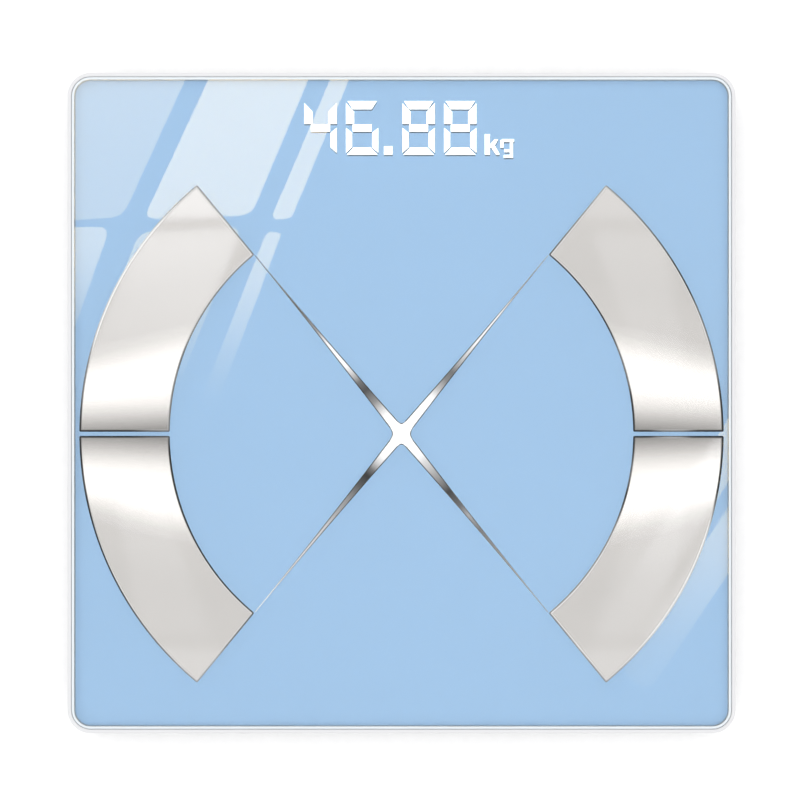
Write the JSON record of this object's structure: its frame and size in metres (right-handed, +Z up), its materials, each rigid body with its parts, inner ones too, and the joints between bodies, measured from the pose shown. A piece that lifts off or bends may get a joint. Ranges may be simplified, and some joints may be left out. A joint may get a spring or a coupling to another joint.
{
  "type": "digital bathroom scale",
  "caption": "Square glass bathroom scale with stainless foot electrodes, a lit digit display, rubber feet on load cells and a battery door underneath.",
  "frame": {"origin": "on the floor under the middle of the scale", "axes": "+Z up, +Y towards the display end, +X to the right of someone standing on it and facing the display"},
  "size_m": [0.26, 0.257, 0.0245],
  "materials": {
    "clear_glass": "polished tempered glass with a ground edge",
    "blue_print": "light blue print on film",
    "lit_white": "film with white light shining through",
    "electrode_steel": "satin stainless sheet",
    "trim_steel": "polished stainless sheet",
    "adhesive": "clear adhesive",
    "tinned_copper": "tinned",
    "zinc_steel": "zinc plated",
    "white_shell": "fine satin moulding",
    "black_foam": "double-sided foam tape",
    "white_potting": "silicone",
    "grey_rubber": "soft, slightly textured",
    "board_green": "solder mask on glass fibre board",
    "diffuser_white": "milky resin",
    "led_yellow": "phosphor",
    "nylon_natural": "natural nylon",
    "black_epoxy": "moulding compound",
    "ceramic_tan": "chip components",
    "bright_can": "stamped can",
    "grey_plastic": "satin moulding",
    "battery_wrap": "printed sleeve, no text",
    "spring_steel": "nickel plated",
    "wire_red": "PVC insulation",
    "wire_white": "PVC insulation",
    "wire_black": "PVC insulation",
    "wire_yellow": "PVC insulation"
  },
  "bodies": {
    "platform": {"glass_platform": "clear_glass", "print_film": "blue_print", "lit_segments": "lit_white", "cross_trim": "trim_steel", "electrode_toe_left": "electrode_steel", "electrode_toe_right": "electrode_steel", "electrode_heel_left": "electrode_steel", "electrode_heel_right": "electrode_steel", "electrode_adhesive": "adhesive", "electrode_lugs": "tinned_copper", "electrode_nuts": "zinc_steel", "tray": "white_shell", "bonding_tape": "black_foam", "load_cell_back_left": "zinc_steel", "load_cell_back_right": "zinc_steel", "load_cell_front_left": "zinc_steel", "load_cell_front_right": "zinc_steel", "gauge_potting": "white_potting", "foot_retainer_back_left": "white_shell", "foot_retainer_back_right": "white_shell", "foot_retainer_front_left": "white_shell", "foot_retainer_front_right": "white_shell", "retainer_screws": "zinc_steel", "main_board": "board_green", "board_screws": "zinc_steel", "display_reflector": "diffuser_white", "display_light_pipes": "diffuser_white", "display_leds": "led_yellow", "lead_connectors": "nylon_natural", "controller_chip": "black_epoxy", "board_passives": "ceramic_tan", "crystal": "bright_can", "tact_switch": "black_epoxy", "battery_front": "battery_wrap", "battery_middle": "battery_wrap", "battery_back": "battery_wrap", "battery_springs": "spring_steel", "battery_contacts": "spring_steel", "wires_red": "wire_red", "wires_white": "wire_white", "wires_black": "wire_black", "electrode_leads": "wire_yellow", "battery_lead_black": "wire_black", "battery_lead_red": "wire_red"},
    "foot_back_left": {"foot_back_left": "white_shell", "foot_pad_back_left": "grey_rubber"},
    "foot_back_right": {"foot_back_right": "white_shell", "foot_pad_back_right": "grey_rubber"},
    "foot_front_left": {"foot_front_left": "white_shell", "foot_pad_front_left": "grey_rubber"},
    "foot_front_right": {"foot_front_right": "white_shell", "foot_pad_front_right": "grey_rubber"},
    "unit_button": {"unit_button": "grey_plastic", "switch_plunger": "grey_plastic"},
    "battery_door": {"battery_door": "white_shell"}
  },
  "joints": [
    {"name": "foot_back_left_float", "type": "slide", "parent": "platform", "child": "foot_back_left", "axis": [0, 0, 1], "range_m": [-0.00078, 0]},
    {"name": "foot_back_right_float", "type": "slide", "parent": "platform", "child": "foot_back_right", "axis": [0, 0, 1], "range_m": [-0.00078, 0]},
    {"name": "foot_front_left_float", "type": "slide", "parent": "platform", "child": "foot_front_left", "axis": [0, 0, 1], "range_m": [-0.00078, 0]},
    {"name": "foot_front_right_float", "type": "slide", "parent": "platform", "child": "foot_front_right", "axis": [0, 0, 1], "range_m": [-0.00078, 0]},
    {"name": "unit_button_press", "type": "slide", "parent": "platform", "child": "unit_button", "axis": [0, 0, 1], "range_m": [0, 0.0005], "stiffness_N_per_m": 2400, "springref_m": -0.0001},
    {"name": "battery_door_swing", "type": "hinge", "parent": "platform", "child": "battery_door", "pos_m": [0, 0.0095, 0.0055], "axis": [-1, 0, 0], "range_deg": [0, 80]}
  ]
}
